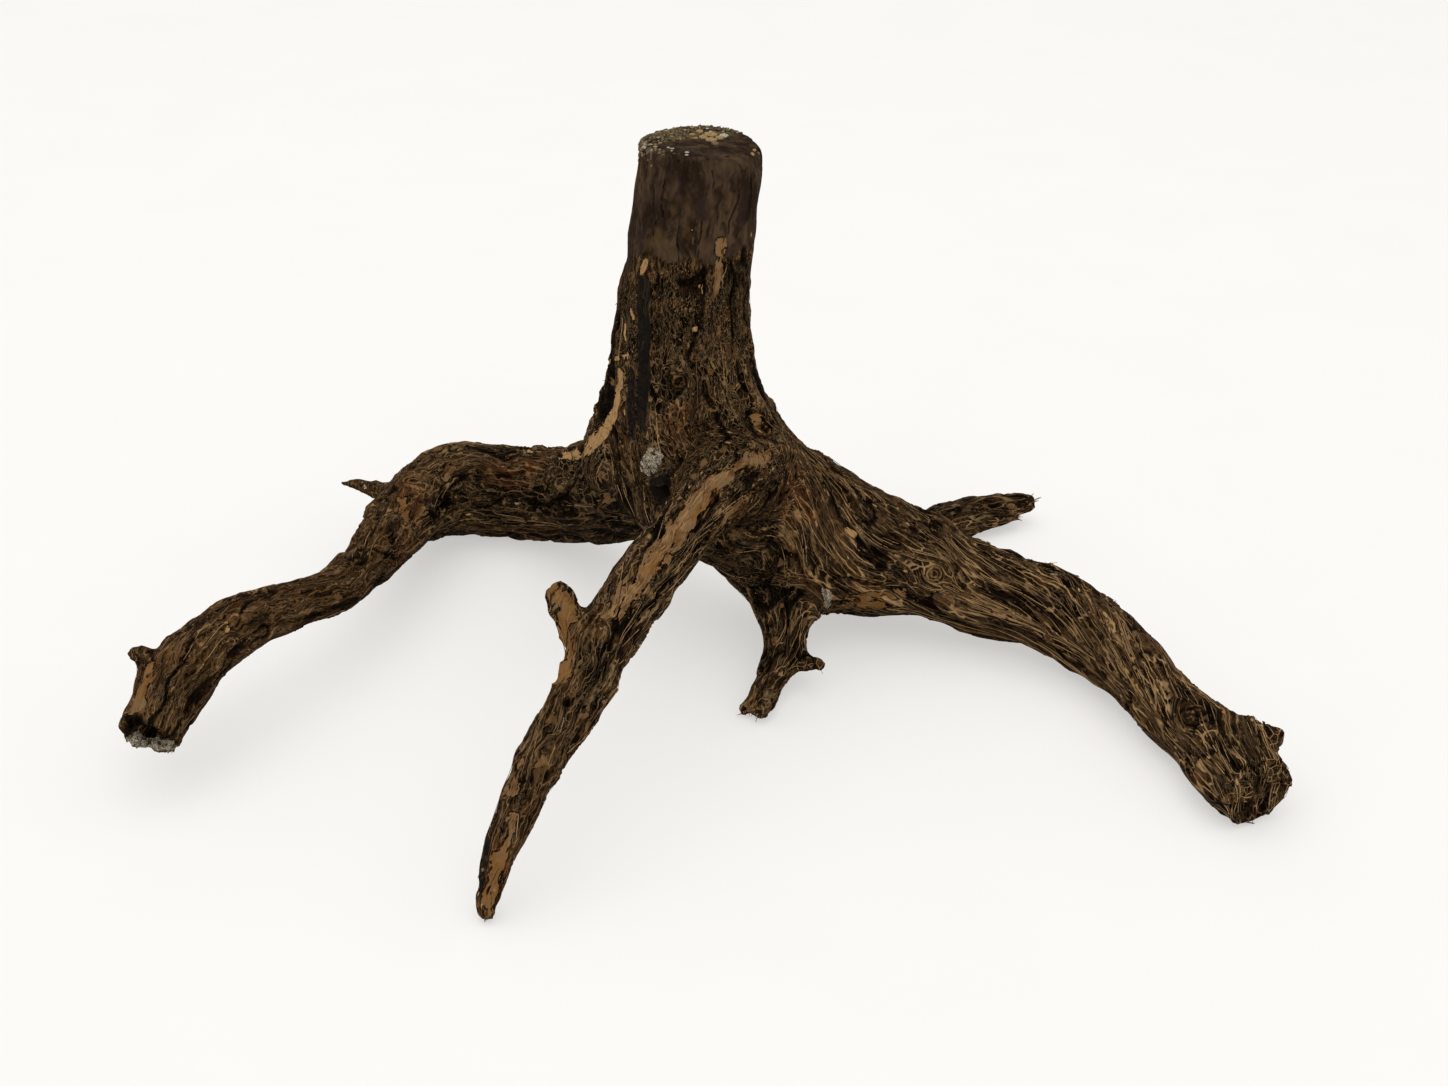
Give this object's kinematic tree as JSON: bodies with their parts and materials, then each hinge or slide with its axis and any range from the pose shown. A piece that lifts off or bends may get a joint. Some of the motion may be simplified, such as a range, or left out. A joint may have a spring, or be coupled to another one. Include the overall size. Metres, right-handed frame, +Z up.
{
  "type": "driftwood piece",
  "caption": "Weathered driftwood: the sawn foot of a small tree, standing upright on spread roots with dark ridged bark, bare patches, knots and a little lichen.",
  "frame": {"origin": "centre of the footprint's bounding box, on the surface that the roots stand on", "axes": "+X to the right along the longest extent, from the hollow-ended root to the forked one; +Y away from the long arched front root; +Z up along the trunk"},
  "size_m": [0.2818, 0.2056, 0.1408],
  "materials": {
    "weathered_wood": "rough dark brown bark with pale fibres, tan bare patches and grey lichen, matte"
  },
  "bodies": {
    "root": {"driftwood": "weathered_wood"}
  },
  "joints": []
}
